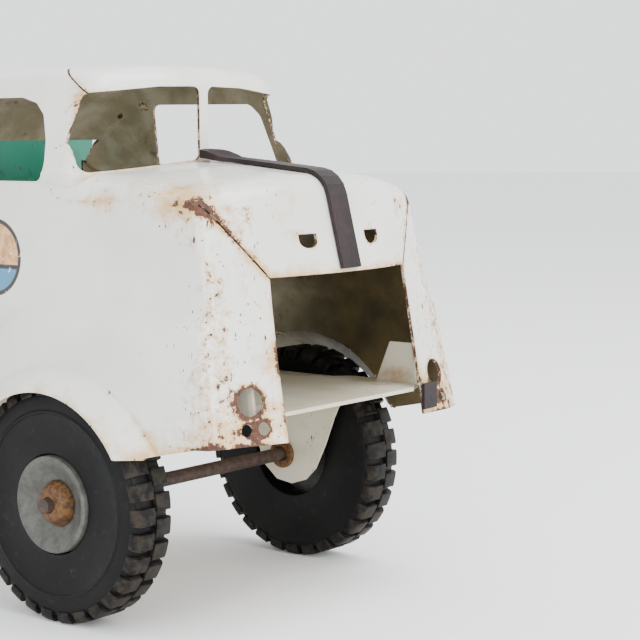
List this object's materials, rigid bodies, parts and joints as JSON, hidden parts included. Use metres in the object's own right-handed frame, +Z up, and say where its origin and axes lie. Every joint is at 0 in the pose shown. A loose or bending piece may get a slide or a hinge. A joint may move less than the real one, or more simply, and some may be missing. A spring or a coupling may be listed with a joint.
{
  "type": "toy dump truck",
  "caption": "Pressed-steel toy dump truck with an open-nosed cab, lugged rubber tyres and a tipping bed worked by a side lever.",
  "frame": {"origin": "middle of the base of the bounding box, on the ground between the wheels", "axes": "+X forward, +Y to the truck's left, +Z up"},
  "size_m": [0.4678, 0.1398, 0.1766],
  "materials": {
    "white_enamel": "worn gloss enamel, chipped and rust-stained",
    "green_enamel": "worn gloss enamel",
    "brown_enamel": "worn satin enamel",
    "rusty_steel": "rusted",
    "black_rubber": "dusty satin",
    "zinc": "dull oxidised casting",
    "black_plastic": "satin"
  },
  "bodies": {
    "chassis": {"cab_shell": "white_enamel", "hood_strap": "brown_enamel", "bumper_tab": "brown_enamel", "cab_cross_strap": "white_enamel", "chassis_frame": "white_enamel", "front_axle_saddle": "white_enamel", "rear_axle_saddle": "white_enamel", "hinge_bracket": "white_enamel", "crank_bracket": "white_enamel", "hinge_pin": "rusty_steel", "front_axle": "rusty_steel", "rear_axle": "rusty_steel", "axle_cap_front_left": "rusty_steel", "axle_cap_front_right": "rusty_steel", "axle_cap_rear_left": "rusty_steel", "axle_cap_rear_right": "rusty_steel"},
    "wheel_front_left": {"tyre_front_left": "black_rubber", "hub_front_left": "zinc"},
    "wheel_front_right": {"tyre_front_right": "black_rubber", "hub_front_right": "zinc"},
    "wheel_rear_left": {"tyre_rear_left": "black_rubber", "hub_rear_left": "zinc"},
    "wheel_rear_right": {"tyre_rear_right": "black_rubber", "hub_rear_right": "zinc"},
    "bed": {"dump_bed": "green_enamel", "bed_sill_left": "green_enamel", "bed_sill_right": "green_enamel", "gate_ear_left": "green_enamel", "gate_ear_right": "green_enamel", "gate_pin": "rusty_steel"},
    "gate": {"tailgate": "green_enamel"},
    "crank": {"lift_crank": "rusty_steel", "lift_roller": "zinc", "lever_knob": "black_plastic"}
  },
  "joints": [
    {"name": "wheel_front_left_spin", "type": "hinge", "parent": "chassis", "child": "wheel_front_left", "pos_m": [0.16158, 0, 0.03814], "axis": [0, 1, 0], "continuous": true},
    {"name": "wheel_front_right_spin", "type": "hinge", "parent": "chassis", "child": "wheel_front_right", "pos_m": [0.16158, 0, 0.03814], "axis": [0, 1, 0], "continuous": true},
    {"name": "wheel_rear_left_spin", "type": "hinge", "parent": "chassis", "child": "wheel_rear_left", "pos_m": [-0.12842, 0, 0.03814], "axis": [0, 1, 0], "continuous": true},
    {"name": "wheel_rear_right_spin", "type": "hinge", "parent": "chassis", "child": "wheel_rear_right", "pos_m": [-0.12842, 0, 0.03814], "axis": [0, 1, 0], "continuous": true},
    {"name": "bed_tilt", "type": "hinge", "parent": "chassis", "child": "bed", "pos_m": [-0.21642, 0, 0.07504], "axis": [0, -1, 0], "range_deg": [0, 45]},
    {"name": "gate_swing", "type": "hinge", "parent": "bed", "child": "gate", "pos_m": [-0.23092, 0, 0.13454], "axis": [0, 1, 0], "range_deg": [0, 90]},
    {"name": "lift_turn", "type": "hinge", "parent": "chassis", "child": "crank", "pos_m": [-0.09142, 0, 0.07504], "axis": [0, -1, 0], "range_deg": [0, 90]}
  ],
  "couplings": [
    {"joint": "lift_turn", "follows": "bed_tilt", "ratio": 2}
  ]
}
